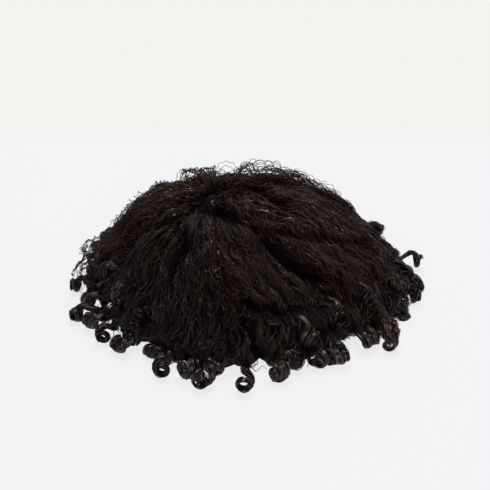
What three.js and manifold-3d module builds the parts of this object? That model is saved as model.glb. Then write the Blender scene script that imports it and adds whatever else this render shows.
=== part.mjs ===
// A curly wig as it stands by itself on a table: a soft cap, open below for the head, covered by
// sections of hair that part at a crown whorl, fall over the cap and end in ringlets.
// Millimetres, +Z up. -Y is the front, +X the right, and azimuths turn from +X towards +Y.
import * as THREE from 'three';
import { mergeVertices } from 'three/addons/utils/BufferGeometryUtils.js';
import Module from 'manifold-3d';

const wasm = await Module();
wasm.setup();
const { lerp, degToRad, smoothstep } = THREE.MathUtils;
const UP = new THREE.Vector3(0, 0, 1);

// Driving dimensions of the hair
const RIM_RADIUS = 150; // the hair mass where it meets the table, without its ringlets
const CROWN = new THREE.Vector3(-24, 12, 107); // where the hair parts
const SLOPE_POWER = 1.3; // 1 is an elliptic dome, and more is nearer to a cone
const PARTING_GAP_DEG = 0.9; // open angle between two sections
const SECTION_ROUNDING = 0.7; // less makes the top of a section flatter and its sides steeper
const LOCK_RELIEF = 5; // how far a lock stands out between its neighbours
const LOCK_WAVE_DEG = 2; // how far a lock waves to either side on its way down
const LOCK_WAVES = 1.6; // from crown to table
const COLUMNS_PER_LOCK = 3;
const ROWS = 9;

// Where the relief of the hair grows and ends, as shares of the way from the crown to the table
const SWELL_RISE = { from: 0.05, to: 0.35 };
const HUMP_RISE = { from: 0.05, to: 0.25 };
const HUMP_FALL = { from: 0.3, to: 0.7 };
const LOCK_RISE = { from: 0.15, to: 0.8 };

// Driving dimensions of the cap, and of the whorl of hair that covers its top
const CAP_HALF_WIDTH = 76;
const CAP_HALF_LENGTH = 92;
const CAP_HEIGHT = 84;
const CAP_WALL = 1.6;
const CAP_COLUMNS = 24;
const CAP_ROWS = 6;
const SEAT_GAP = 0.4; // the hair clears the cap, and the sections clear the whorl, by this
const WHORL_RADIUS = 17;
const WHORL_HEIGHT = 3; // of its middle above its edge
const WHORL_ARMS = 6;
const WHORL_RELIEF = 1.4;
const WHORL_TWIST_DEG = 70;
const WHORL_ROWS = 3;

// Driving dimensions of a ringlet: the flat end of a lock, wound into a corkscrew
const RINGLET_WIDTH = 6.8;
const RINGLET_THICKNESS = 4.4;
const RINGLET_TAPER = 0.7; // of its section, from root to tip
const RINGLET_PITCH = 7.6;
const RINGLET_STEPS_PER_TURN = 6;
const RINGLET_LEAD = 6; // how far the first turn is drawn out
const RINGLET_LEAD_TURNS = 0.33; // the part of a turn over which that fades
const RINGLET_ROOT = 14; // length sunk in the hair
const RINGLET_RADIUS = { low: 4.4, high: 6.2 };
const RINGLET_TURNS = { low: 1.2, high: 1.7 };
const RINGLET_YAW_DEG = { low: -34, high: 34 }; // how far its axis turns from straight out
const RINGLET_EDGE = 0.04; // share of a section's width that its ringlets start from its partings
const RINGLET_MARGIN_DEG = 1.6; // they are trimmed this far from the partings
const UPPER_SHARE = { low: 0.7, high: 0.86 }; // where the upper ringlets leave the slope
const UPPER_EDGE = 0.15; // share of a section's width that they keep from its partings
const UPPER_LIFT = 0.5; // how far they point out of the slope for each length along it
const FLOOR_GAP = 0.5;

// The sections of hair, counter-clockwise. rim and root are the azimuths of the parting where a
// section begins, at the table and at the crown, and depth is how far that parting lies below the
// dome. A section ends where the next row begins. swell is how far its middle stands above the
// dome, hump the same near the crown, and reach scales its rim radius. upper counts the ringlets
// on its slope, and ends has one number for each of its locks: how far past the rim its ringlet begins.
const SECTIONS = [
  {
    name: 'right_sweep', rim: -48, root: -74, depth: 11, swell: 11, hump: 2,
    reach: 1.05, upper: 4, ends: [20, 14, -15, -9, -4, 0, -4, 17],
  },
  {
    name: 'back_right_fall', rim: 16, root: 26, depth: 3, swell: 5, hump: 11,
    reach: 1.05, upper: 2, ends: [-6, 1, 8, -2, 3, -5],
  },
  {
    name: 'back_fall', rim: 66, root: 84, depth: 5, swell: 7, hump: 2,
    reach: 0.96, upper: 1, ends: [2, -4, 5, -1, -7, 4, 0],
  },
  {
    name: 'left_sweep', rim: 122, root: 130, depth: 4, swell: 8, hump: 4,
    reach: 1, upper: 2, ends: [-3, 5, -6, 2, 6, 5, 3, 2, -3],
  },
  {
    name: 'left_fan', rim: 200, root: 206, depth: 7, swell: 6, hump: 0,
    reach: 1.03, upper: 1, ends: [2, 0, 4, -2],
  },
  {
    name: 'front_fall', rim: 232, root: 224, depth: 4, swell: 7, hump: 0,
    reach: 1.06, upper: 0, ends: [-5, 10, 13, 4, 15],
  },
  {
    name: 'front_swoop', rim: 276, root: 252, depth: 4, swell: 8, hump: 2,
    reach: 1.01, upper: 1, ends: [8, 4, -6, 4, -12],
  },
];

const HAIR = new THREE.MeshStandardMaterial({ color: 0x1a1412, roughness: 0.5, metalness: 0 });
const CAP_NET = new THREE.MeshStandardMaterial({ color: 0x12100f, roughness: 0.9, metalness: 0 });

const NEARBY = 0.02; // a small step along a line, to find its direction

// Values spread evenly between low and high, the same at every run. Each use has a step of its own.
const STEP = { yaw: 0.618, radius: 0.414, turns: 0.732, share: 0.236 };
const spread = (index, { low, high }, step) => lerp(low, high, (index * step) % 1);

// A closed solid from its corners and its triangles.
function solidFrom(points, triangles) {
  const geometry = new THREE.BufferGeometry().setFromPoints(points);
  geometry.setIndex(triangles);
  const merged = mergeVertices(geometry);
  const vertProperties = merged.attributes.position.array;
  const triVerts = new Uint32Array(merged.index.array);
  return new wasm.Manifold(new wasm.Mesh({ numProp: 3, vertProperties, triVerts }));
}

function meshFrom(name, solid, material) {
  const { vertProperties, triVerts } = solid.getMesh();
  const geometry = new THREE.BufferGeometry();
  geometry.setAttribute('position', new THREE.BufferAttribute(vertProperties, 3));
  geometry.setIndex(new THREE.BufferAttribute(triVerts, 1));
  geometry.computeVertexNormals();
  const mesh = new THREE.Mesh(geometry, material);
  mesh.name = name;
  return mesh;
}

// Rings of corners of equal length, from the first ring to the last, joined into a closed skin.
// ringPoints gives the corners of each ring, and an end given as a point closes in a fan.
function loftSolid(ringPoints, firstEnd, lastEnd) {
  const points = [...ringPoints.flat(), firstEnd, lastEnd];
  const count = ringPoints[0].length;
  const [first, last] = [points.length - 2, points.length - 1];
  const lastRing = (ringPoints.length - 1) * count;
  const triangles = [];
  for (let c = 0; c < count; c++) {
    const next = (c + 1) % count;
    triangles.push(first, c, next, last, lastRing + next, lastRing + c);
    for (let ring = 0; ring < lastRing; ring += count) {
      const [a, b] = [ring + c, ring + next];
      triangles.push(a, a + count, b + count, a, b + count, b);
    }
  }
  return solidFrom(points, triangles);
}

function ovalRing(halfWidth, halfLength, z) {
  return Array.from({ length: CAP_COLUMNS }, (_, c) => {
    const turn = (2 * Math.PI * c) / CAP_COLUMNS;
    return new THREE.Vector3(halfWidth * Math.cos(turn), halfLength * Math.sin(turn), z);
  });
}

// The cap's dome, grown by a margin all round, with a flat foot at footZ.
function capDome(margin, footZ) {
  const width = CAP_HALF_WIDTH + margin;
  const length = CAP_HALF_LENGTH + margin;
  const height = CAP_HEIGHT + margin;
  const rings = [];
  for (let r = 1; r <= CAP_ROWS; r++) {
    const tilt = (Math.PI / 2) * (r / CAP_ROWS);
    const z = r === CAP_ROWS ? 0 : height * Math.cos(tilt);
    rings.push(ovalRing(width * Math.sin(tilt), length * Math.sin(tilt), z));
  }
  if (footZ < 0) rings.push(ovalRing(width, length, footZ));
  return loftSolid(rings, new THREE.Vector3(0, 0, height), new THREE.Vector3(0, 0, footZ));
}

const BELOW_TABLE = -20;
const capClearance = capDome(SEAT_GAP, BELOW_TABLE);

function buildCap() {
  return capDome(0, 0).subtract(capDome(-CAP_WALL, BELOW_TABLE));
}

// An upright plug round the crown, whose top twists in arms of hair away from its middle.
function whorlPlug(margin, relief) {
  const columns = WHORL_ARMS * 4;
  const edgeZ = CROWN.z - WHORL_HEIGHT / 2;
  const ring = (share, z, arms) =>
    Array.from({ length: columns }, (_, c) => {
      const turn = (2 * Math.PI * c) / columns;
      const armTurn = WHORL_ARMS * (turn + degToRad(WHORL_TWIST_DEG) * share);
      const radius = (WHORL_RADIUS + margin) * share;
      const [x, y] = [CROWN.x + radius * Math.cos(turn), CROWN.y + radius * Math.sin(turn)];
      return new THREE.Vector3(x, y, z + arms * relief * Math.cos(armTurn));
    });
  const rings = [];
  for (let r = 1; r <= WHORL_ROWS; r++) {
    const share = r / WHORL_ROWS;
    rings.push(ring(share, edgeZ + WHORL_HEIGHT * (1 - share * share), share));
  }
  rings.push(ring(1, 0, 0));
  const top = new THREE.Vector3(CROWN.x, CROWN.y, edgeZ + WHORL_HEIGHT);
  return loftSolid(rings, top, new THREE.Vector3(CROWN.x, CROWN.y, 0));
}

function buildWhorl() {
  return whorlPlug(0, WHORL_RELIEF).subtract(capClearance);
}

// The whorl's place, cut out of the sections to above their tops.
const whorlFoot = whorlPlug(SEAT_GAP, 0);
const whorlPlace = whorlFoot.add(whorlFoot.translate(0, 0, WHORL_RADIUS));

// A point of the plain dome. share runs from 0 at the crown to 1 at the table.
function domePoint(azimuthDeg, share, reach) {
  const turn = degToRad(azimuthDeg);
  const tilt = (Math.PI / 2) * share;
  const rimX = RIM_RADIUS * reach * Math.cos(turn);
  const rimY = RIM_RADIUS * reach * Math.sin(turn);
  const z = CROWN.z * Math.max(0, Math.cos(tilt)) ** SLOPE_POWER;
  return new THREE.Vector3(lerp(CROWN.x, rimX, Math.sin(tilt)), lerp(CROWN.y, rimY, Math.sin(tilt)), z);
}

// Each section knows its neighbours, the turn that the last one adds to reach the first one's
// parting, its count of locks and the number of its first lock.
let lockCount = 0;
SECTIONS.forEach((section, index) => {
  section.locks = section.ends.length;
  section.next = SECTIONS[(index + 1) % SECTIONS.length];
  section.next.previous = section;
  section.turn = index + 1 === SECTIONS.length ? 360 : 0;
  section.firstLock = lockCount;
  lockCount += section.locks;
});

// Neighbouring sections reach equally far at their parting.
function reachAt(section, across) {
  const neighbour = across < 0.5 ? section.previous : section.next;
  return lerp(section.reach, (section.reach + neighbour.reach) / 2, (2 * across - 1) ** 2);
}

// The azimuth of a section's line of hair, whose two ends are the partings of the table above.
function azimuthAt(section, across, share) {
  const settled = smoothstep(share, 0, 1);
  const from = lerp(section.root, section.rim, settled) + PARTING_GAP_DEG / 2;
  const to = lerp(section.next.root, section.next.rim, settled) + section.turn - PARTING_GAP_DEG / 2;
  const wave = LOCK_WAVE_DEG * Math.sin(Math.PI * across) * Math.sin(2 * Math.PI * LOCK_WAVES * share);
  return lerp(from, to, across) + wave;
}

// How far the hair stands above the plain dome.
function reliefAt(section, across, share) {
  const middle = Math.sin(Math.PI * across) ** SECTION_ROUNDING;
  const parting = -lerp(section.depth, section.next.depth, across) * (1 - middle);
  const lock = LOCK_RELIEF * Math.sin(Math.PI * ((across * section.locks) % 1));
  const grown = ({ from, to }) => smoothstep(share, from, to);
  return (
    grown(SWELL_RISE) * (parting + section.swell * middle) +
    grown(HUMP_RISE) * (1 - grown(HUMP_FALL)) * section.hump * middle +
    grown(LOCK_RISE) * lock
  );
}

// A point of a section's outer surface, and the way out of the hair there. across runs from the
// section's first parting to its last.
function hairPoint(section, across, share) {
  const point = domePoint(azimuthAt(section, across, share), share, reachAt(section, across));
  const out = new THREE.Vector3(point.x - CROWN.x / 2, point.y - CROWN.y / 2, point.z).normalize();
  point.addScaledVector(out, reliefAt(section, across, share));
  if (share === 1) point.z = 0;
  return { point, out };
}

// The body of a section: its locks lie side by side on a wedge that reaches in to the axis.
function sectionBody(section) {
  const columns = section.locks * COLUMNS_PER_LOCK;
  const width = columns + 1;
  const points = [];
  for (let r = 1; r <= ROWS; r++)
    for (let c = 0; c < width; c++) points.push(hairPoint(section, c / columns, r / ROWS).point);
  const [crown, foot] = [points.length, points.length + 1];
  points.push(CROWN.clone(), new THREE.Vector3(CROWN.x, CROWN.y, 0));
  const rimRow = (ROWS - 1) * width;
  const triangles = [foot, 0, crown, foot, crown, columns];
  for (let c = 0; c < columns; c++) {
    triangles.push(crown, c, c + 1, foot, rimRow + c + 1, rimRow + c);
    for (let row = 0; row < rimRow; row += width) {
      const [a, below] = [row + c, row + c + width];
      triangles.push(a, below, below + 1, a, below + 1, a + 1);
    }
  }
  for (let row = 0; row < rimRow; row += width) {
    triangles.push(foot, row + width, row);
    triangles.push(foot, row + columns, row + width + columns);
  }
  return solidFrom(points, triangles);
}

// A ringlet whose axis leaves the hair at mouth. Its first turn is drawn out, and later ones close up.
function ringlet({ mouth, axis, radius, turns, hand, root }) {
  const side = UP.clone().cross(axis).normalize();
  const up = axis.clone().cross(side);
  const centreAt = (turn) => {
    const wound = Math.max(0, turn);
    const along = RINGLET_PITCH * turn + RINGLET_LEAD * (1 - Math.exp(-wound / RINGLET_LEAD_TURNS));
    const angle = 2 * Math.PI * wound;
    const radial = up.clone().multiplyScalar(Math.cos(angle)).addScaledVector(side, hand * Math.sin(angle));
    return { centre: mouth.clone().addScaledVector(axis, along).addScaledVector(radial, radius), radial };
  };
  const steps = Math.round(turns * RINGLET_STEPS_PER_TURN);
  const rings = [];
  const ends = [];
  for (let k = -1; k <= steps; k++) {
    const turn = k < 0 ? -root / RINGLET_PITCH : k / RINGLET_STEPS_PER_TURN;
    const { centre, radial } = centreAt(turn);
    const tangent = centreAt(turn + NEARBY).centre.sub(centre).normalize();
    const across = tangent.cross(radial).normalize();
    const scale = lerp(1, RINGLET_TAPER, Math.max(0, k) / steps);
    const corners = [[-1, -1], [1, -1], [1, 1], [-1, 1]].map(([a, b]) =>
      centre
        .clone()
        .addScaledVector(across, (a * scale * RINGLET_WIDTH) / 2)
        .addScaledVector(radial, (b * scale * RINGLET_THICKNESS) / 2),
    );
    rings.push(corners);
    ends.push(centre);
  }
  return loftSolid(rings, ends[0], ends.at(-1));
}

// The space between a section's two partings, carried out past its ringlets.
function sectionSlice(section) {
  const from = section.rim + RINGLET_MARGIN_DEG;
  const to = section.next.rim + section.turn - RINGLET_MARGIN_DEG;
  const carriedOut = 2;
  const corners = (z) => [
    new THREE.Vector3(CROWN.x, CROWN.y, z),
    ...[from, (from + to) / 2, to].map((azimuth) => {
      const rim = domePoint(azimuth, 1, 1);
      return new THREE.Vector3(lerp(CROWN.x, rim.x, carriedOut), lerp(CROWN.y, rim.y, carriedOut), z);
    }),
  ];
  const [top, foot] = [corners(CROWN.z), corners(BELOW_TABLE)];
  const middle = (ring) => ring[0].clone().lerp(ring[2], 0.5);
  return loftSolid([top, foot], middle(top), middle(foot));
}

// The ringlets that lie on the table, one at the end of each lock.
function rimRinglets(section) {
  const slice = sectionSlice(section);
  return Array.from({ length: section.locks }, (_, i) => {
    const index = section.firstLock + i;
    const across = lerp(RINGLET_EDGE, 1 - RINGLET_EDGE, (i + 0.5) / section.locks);
    const { point } = hairPoint(section, across, 1);
    const free = 4 * across * (1 - across); // the outer ringlets stay clear of the next section
    const turned = degToRad(spread(index, RINGLET_YAW_DEG, STEP.yaw) * free);
    const axis = new THREE.Vector3(point.x, point.y, 0).normalize().applyAxisAngle(UP, turned);
    const radius = spread(index, RINGLET_RADIUS, STEP.radius);
    const turns = spread(index, RINGLET_TURNS, STEP.turns);
    const stretch = section.ends[i];
    const mouth = point.addScaledVector(axis, stretch).setZ(radius + RINGLET_THICKNESS / 2 + FLOOR_GAP);
    const root = RINGLET_ROOT + Math.max(0, stretch);
    return ringlet({ mouth, axis, radius, turns, hand: index % 2 ? 1 : -1, root }).intersect(slice);
  });
}

// The ringlets of shorter locks, which lie on the slope.
function upperRinglets(section) {
  return Array.from({ length: section.upper }, (_, i) => {
    const index = section.firstLock + i;
    const across = lerp(UPPER_EDGE, 1 - UPPER_EDGE, (i + 0.5) / section.upper);
    const share = spread(index, UPPER_SHARE, STEP.share);
    const { point, out } = hairPoint(section, across, share);
    const axis = hairPoint(section, across, share + NEARBY).point.sub(point).normalize();
    axis.addScaledVector(out, UPPER_LIFT).normalize();
    const radius = spread(index, RINGLET_RADIUS, STEP.radius);
    const turns = spread(index, RINGLET_TURNS, STEP.turns);
    return ringlet({ mouth: point, axis, radius, turns, hand: index % 2 ? -1 : 1, root: RINGLET_ROOT });
  });
}

// A section with its ringlets joined on. What the trim at the partings cuts loose is left out.
function buildSection(section) {
  const body = sectionBody(section).subtract(capClearance).subtract(whorlPlace);
  const locks = [...rimRinglets(section), ...upperRinglets(section)];
  const pieces = wasm.Manifold.union([body, ...locks]).decompose();
  return pieces.reduce((most, piece) => (piece.volume() > most.volume() ? piece : most));
}

const wig = new THREE.Group();
wig.add(meshFrom('wig_cap', buildCap(), CAP_NET));
wig.add(meshFrom('crown_whorl', buildWhorl(), HAIR));
for (const section of SECTIONS) wig.add(meshFrom(section.name, buildSection(section), HAIR));

// The origin lies on the table, under the middle of the wig.
const box = new THREE.Box3().setFromObject(wig);
const middle = box.getCenter(new THREE.Vector3());
for (const mesh of wig.children) mesh.position.set(-middle.x, -middle.y, -box.min.z);

export default wig;
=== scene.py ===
"""The looks of a curly wig: crimped strands that gather into locks and wind into ringlets.

Sizes are in millimetres, as on the wig, and turn into metres where a mesh is made.
"""
import math
from types import SimpleNamespace

import bpy
import numpy as np
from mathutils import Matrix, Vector


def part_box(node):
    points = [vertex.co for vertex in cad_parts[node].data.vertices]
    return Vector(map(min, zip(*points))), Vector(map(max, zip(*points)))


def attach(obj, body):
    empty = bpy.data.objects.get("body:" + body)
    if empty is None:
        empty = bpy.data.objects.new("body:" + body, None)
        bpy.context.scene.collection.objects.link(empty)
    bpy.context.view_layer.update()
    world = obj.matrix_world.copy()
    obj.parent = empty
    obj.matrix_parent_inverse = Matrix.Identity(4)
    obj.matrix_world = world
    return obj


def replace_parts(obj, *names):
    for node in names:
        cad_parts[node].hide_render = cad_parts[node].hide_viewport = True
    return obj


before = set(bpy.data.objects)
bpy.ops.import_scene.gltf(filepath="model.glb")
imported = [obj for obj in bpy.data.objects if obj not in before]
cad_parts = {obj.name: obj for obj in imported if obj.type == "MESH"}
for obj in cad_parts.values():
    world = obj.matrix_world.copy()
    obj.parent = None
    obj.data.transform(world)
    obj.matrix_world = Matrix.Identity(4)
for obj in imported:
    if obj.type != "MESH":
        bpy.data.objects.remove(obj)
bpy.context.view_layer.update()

MM = 0.001
UP = np.array([0.0, 0.0, 1.0])
cap_low, cap_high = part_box("wig_cap")
CAP_MIDDLE = np.array([(cap_low.x + cap_high.x) / 2, (cap_low.y + cap_high.y) / 2, 0.0])

# The form of the hair, as the part has it
RIM_RADIUS = 150.0
CROWN = np.array([-24.0, 12.0, 107.0])
SLOPE_POWER = 1.3
SECTION_ROUNDING = 0.7
LOCK_RELIEF = 5.0
LOCK_WAVE_DEG = 2.0
LOCK_WAVES = 1.6
SWELL_RISE = (0.05, 0.35)
HUMP_RISE = (0.05, 0.25)
HUMP_FALL = (0.3, 0.7)
LOCK_RISE = (0.15, 0.8)
CAP_HALF_SIZE = np.array([76.0, 92.0, 84.0])
WHORL_RADIUS = 17.0

# The ringlets, as the part has them
RINGLET_WIDTH = 6.8
RINGLET_THICKNESS = 4.4
RINGLET_PITCH = 7.6
RINGLET_LEAD = 6.0
RINGLET_LEAD_TURNS = 0.33
RINGLET_RADIUS = (4.4, 6.2)
RINGLET_TURNS = (1.2, 1.7)
RINGLET_YAW_DEG = (-34.0, 34.0)
RINGLET_EDGE = 0.04
UPPER_SHARE = (0.7, 0.86)
UPPER_EDGE = 0.15
UPPER_LIFT = 0.5
FLOOR_GAP = 0.5
STEP = SimpleNamespace(yaw=0.618, radius=0.414, turns=0.732, share=0.236)
NEARBY = 0.02  # a short step, which shows the way that a line runs

# Sections of hair, counter-clockwise: the azimuths where each begins at the table and at the crown, the depth
# of that parting, how far the middle and the part near the crown stand up, the reach of the rim, the ringlets
# on the slope, the share of red-brown in the colour, which is lighter too, partly the hair's own tone and
# partly painted light on the sections that the light falls on, the painted light on the fleece and on the
# ringlets, lighter or darker by how the light falls on each section, and how far past the rim the ringlet of
# each lock begins.
SECTION_COLUMNS = (
    "name", "rim", "root", "depth", "swell", "hump", "reach", "upper", "red", "light", "shine", "ends",
)
SECTION_ROWS = (
    ("right_sweep", -48, -74, 11, 11, 2, 1.05, 4, 0.6, 1.36, 0.68, (22, 0, -18, -20, -4, 0, -4, 21)),
    ("back_right_fall", 16, 26, 3, 5, 11, 1.05, 2, 0.6, 1.12, 0.7, (-14, -10, 8, -2, 3, -5)),
    ("back_fall", 66, 84, 5, 7, 2, 0.96, 1, 0.5, 1.1, 0.7, (2, -4, 5, -1, -7, 4, 0)),
    ("left_sweep", 122, 130, 4, 8, 4, 1.0, 2, 0.62, 1.25, 0.48, (-3, 5, -6, 2, 0, -8, -8, -6, -3)),
    ("left_fan", 200, 206, 7, 6, 0, 1.03, 1, 0.3, 1.15, 0.5, (15, 2, 5, 2)),
    ("front_fall", 232, 224, 4, 7, 0, 1.06, 0, 0.25, 0.88, 0.95, (-8, 10, 2, -8, 22)),
    ("front_swoop", 276, 252, 4, 8, 2, 1.01, 1, 0.36, 1.16, 0.85, (11, -6, -6, 4, -20)),
)

# Streams of strands that lie over the others: their section and count, then ranges of the places across it
# where they begin and end, of the shares of the way down, and of their height.
STREAM_COLUMNS = ("section", "count", "root", "end", "shares", "lift")
STREAM_ROWS = (
    ("front_swoop", 60, (-0.45, 0.6), (0.3, 1.05), (0.1, 0.7), (1.5, 5.0)),
    ("right_sweep", 26, (0.15, 0.9), (0.05, 0.75), (0.06, 0.8), (1.0, 4.0)),
    ("left_sweep", 26, (0.3, 0.95), (0.4, 1.0), (0.06, 0.7), (1.0, 4.0)),
    ("left_fan", 10, (0.0, 1.0), (0.1, 0.9), (0.1, 0.84), (0.0, 3.0)),
    ("front_fall", 20, (0.0, 1.0), (0.1, 0.9), (0.08, 0.84), (0.0, 3.0)),
    ("back_right_fall", 20, (0.1, 0.9), (0.1, 0.9), (0.08, 0.75), (0.0, 3.0)),
    ("back_fall", 14, (0.1, 0.9), (0.1, 0.9), (0.08, 0.75), (0.0, 3.0)),
)

# Hollows in the hair, sunk and dark with painted shade: their depth and half width, and the azimuths and
# shares of points on their middle line.
HOLLOW_COLUMNS = ("depth", "width", "line")
HOLLOW_ROWS = (
    (5.0, 10.0, ((0, 0.0), (180, 0.03))),
    (8.5, 9.0, ((261, 0.17), (268, 0.212), (276, 0.245))),
    (4.5, 5.0, ((276, 0.245), (294.5, 0.278), (309.5, 0.354), (321, 0.407), (333, 0.477), (345, 0.54))),
    (6.5, 6.0, ((364, 0.116), (343, 0.152), (332, 0.199), (329.5, 0.248))),
    (7.0, 11.0, ((294, 0.36), (299, 0.417), (303, 0.48), (308, 0.56))),
    (4.0, 7.0, ((309, 0.646), (312, 0.728))),
    (6.0, 6.0, ((208.5, 0.043), (211.5, 0.133), (201.5, 0.219))),
    (5.0, 9.0, ((215, 0.1), (228, 0.19), (250, 0.19))),
    (5.0, 7.0, ((220, 0.29), (214.5, 0.348), (201, 0.444), (199.5, 0.536))),
    (6.5, 6.5, ((236, 0.338), (242.5, 0.397), (240, 0.5))),
    (6.0, 6.0, ((272, 0.609), (278.5, 0.632), (284.5, 0.652), (293.5, 0.672), (302, 0.7))),
    (5.5, 9.0, ((290, 0.77), (297, 0.8), (305, 0.79))),
    (5.0, 7.0, ((18, 0.3), (14, 0.6))),
    (5.0, 7.0, ((66, 0.25), (70, 0.5), (64, 0.75))),
    (5.0, 7.0, ((104, 0.3), (98, 0.65))),
    (5.0, 7.0, ((150, 0.25), (160, 0.6))),
)

# Where the hair lies lower than the part: how far, and the azimuth and share of the middle with their half
# widths.
DIP_COLUMNS = ("depth", "azimuth", "turn", "share", "length")
DIP_ROWS = (
    (11.0, 98.0, 32.0, 0.3, 0.17),
    (13.0, 52.0, 20.0, 0.41, 0.16),
    (10.0, 16.0, 16.0, 0.86, 0.22),
    (5.0, 168.0, 20.0, 0.6, 0.2),
)

# Loose strands that stand off the hair: their section and count, ranges of the places where they begin, of
# their length, of their height in the middle and at the tip, and of their radius.
LOOSE_COLUMNS = ("section", "count", "across", "share", "length", "middle", "tip", "radius")
LOOSE_ROWS = (
    ("back_right_fall", 66, (0.05, 0.85), (0.02, 0.34), (36, 66), (4, 11), (-5, 1), (0.42, 0.6)),
    ("back_right_fall", 60, (0.0, 1.0), (0.3, 0.7), (30, 60), (2, 6), (-1, 3), (0.3, 0.44)),
    ("back_fall", 26, (0.4, 1.0), (0.06, 0.4), (30, 60), (2, 8), (-2, 3), (0.32, 0.48)),
    ("back_fall", 24, (0.0, 1.0), (0.4, 0.9), (30, 60), (2, 5), (0, 5), (0.32, 0.48)),
    ("left_sweep", 20, (0.0, 0.5), (0.06, 0.5), (30, 60), (1, 5), (-2, 3), (0.32, 0.48)),
    ("left_sweep", 14, (0.66, 0.98), (0.56, 0.8), (40, 70), (4, 10), (4, 10), (0.32, 0.48)),
    ("left_sweep", 24, (0.0, 1.0), (0.3, 0.8), (30, 60), (2, 5), (0, 4), (0.32, 0.48)),
    ("left_sweep", 60, (0.4, 0.9), (0.36, 0.66), (36, 66), (3, 7), (1, 6), (0.28, 0.42)),
    ("right_sweep", 44, (0.0, 1.0), (0.2, 0.85), (30, 60), (2, 5), (0, 5), (0.32, 0.48)),
    ("left_fan", 22, (0.0, 1.0), (0.2, 0.85), (30, 60), (2, 5), (0, 4), (0.32, 0.48)),
    ("front_fall", 30, (0.0, 1.0), (0.2, 0.85), (30, 60), (2, 4), (0, 4), (0.32, 0.48)),
    ("front_swoop", 26, (0.0, 1.0), (0.2, 0.85), (30, 60), (2, 5), (0, 4), (0.32, 0.48)),
)

# Wisps, thin waved locks that stand off the hair: their section and count, and the same ranges
WISP_COLUMNS = ("section", "count", "across", "share", "length", "middle", "tip")
WISP_ROWS = (
    ("left_sweep", 11, (0.6, 0.84), (0.58, 0.68), (50, 72), (10, 16), (10, 20)),
    ("back_fall", 5, (0.4, 1.0), (0.06, 0.12), (26, 38), (11, 15), (-4, 0)),
    ("left_sweep", 8, (0.0, 0.2), (0.06, 0.13), (26, 40), (12, 16), (-4, 0)),
)

# Small curls in the band above the rim: their section and count, and ranges of the places where they lie
CURL_COLUMNS = ("section", "count", "across", "share")
CURL_ROWS = (
    ("right_sweep", 4, (0.0, 0.5), (0.7, 0.98)),
    ("right_sweep", 9, (0.5, 1.0), (0.62, 0.95)),
    ("back_right_fall", 9, (0.0, 1.0), (0.66, 0.98)),
    ("back_fall", 10, (0.0, 1.0), (0.7, 0.98)),
    ("left_sweep", 11, (0.0, 1.0), (0.7, 0.98)),
    ("left_fan", 3, (0.0, 1.0), (0.7, 0.98)),
    ("front_swoop", 4, (0.45, 1.0), (0.76, 0.98)),
)

# Thin strands that arch over the crown: their section, the places across it of their ends, their share of
# the way down and their height.
ARCH_COLUMNS = ("section", "across", "share", "height")
ARCH_ROWS = (
    ("back_fall", (0.61, -0.35), 0.13, 19.0),
    ("back_fall", (0.5, -0.2), 0.15, 14.0),
    ("back_fall", (1.15, 0.6), 0.16, 13.0),
    ("left_sweep", (0.5, 0.1), 0.19, 12.0),
    ("left_sweep", (0.45, 0.0), 0.22, 11.0),
)

# More ringlets past the rim: their section, place across it, and how far past the rim they begin
RIM_COLUMNS = ("section", "across", "end")
RIM_ROWS = (
    ("right_sweep", 0.03, 9),
    ("right_sweep", 0.15, 13),
    ("right_sweep", 0.2, 0),
    ("right_sweep", 0.09, 6),
    ("left_sweep", 0.83, 9),
    ("left_sweep", 0.97, 5),
    ("left_fan", 0.88, 6),
    ("front_fall", 0.27, -8),
    ("front_fall", 0.575, 20),
    ("front_fall", 0.64, 13),
    ("front_swoop", 0.55, 0),
)

# The surface of the hair
FALL_LENGTH = 215.0  # from the crown to the table, along the hair
LOCK_WIDTH = 17.0  # halfway down
OUT_FROM = CROWN * (0.5, 0.5, 0.0)  # the point that the ways out of the hair lead away from
LUMP_HEIGHT = 1.8
LUMP_RISE = (0.05, 0.3)
LUMP_FALL = (0.8, 1.0)
NOISE_COUNT = 10
NOISE_LENGTH = (18.0, 42.0)
HOLLOW_STATIONS = 6  # for each point of a hollow's line
PAINTED_SHADE_LIFT = (-7.5, 2.0)  # painted shade: from the dark inside of the hair to the open
HOLLOW_PAINTED_SHADE = 0.16  # painted shade: light lost for each millimetre of a hollow's depth
HOLLOW_PAINTED_LIGHT = 0.08  # the least painted light in a hollow

# Strands
FULL_TURN = (0.0, 2 * math.pi)
SEGMENT = 1.6
STRAND_RADIUS = (0.28, 0.46)
STRAND_TIP = 0.45  # its radius at the tip, of the rest
STRAND_TIP_SHARE = 0.75  # where it begins to narrow
STRAND_CLEARANCE = 0.2
TWIST = 1.0  # how far a flat strand turns, either way
TWIST_SWING = 0.8
TWIST_RATE = 9.0
TWIST_SHIFT = 20.0  # so that strands swing differently
GLOSS = (0.55, 1.05)
RED_SPREAD = 0.22
LEAN = (0.4, 1.0)  # how far a wave goes out of the hair, of its height
WAVE_UNEVEN = 0.9  # how far a wave hurries and lags
WAVE_UNEVEN_RATE = 0.37
FLOW_STEP = 7.3  # between the streaks of one body and the next
STRIP_EDGE = 0.02  # how far the maps of a body's ends reach past it
FACE_EDGE = 0.01

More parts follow.
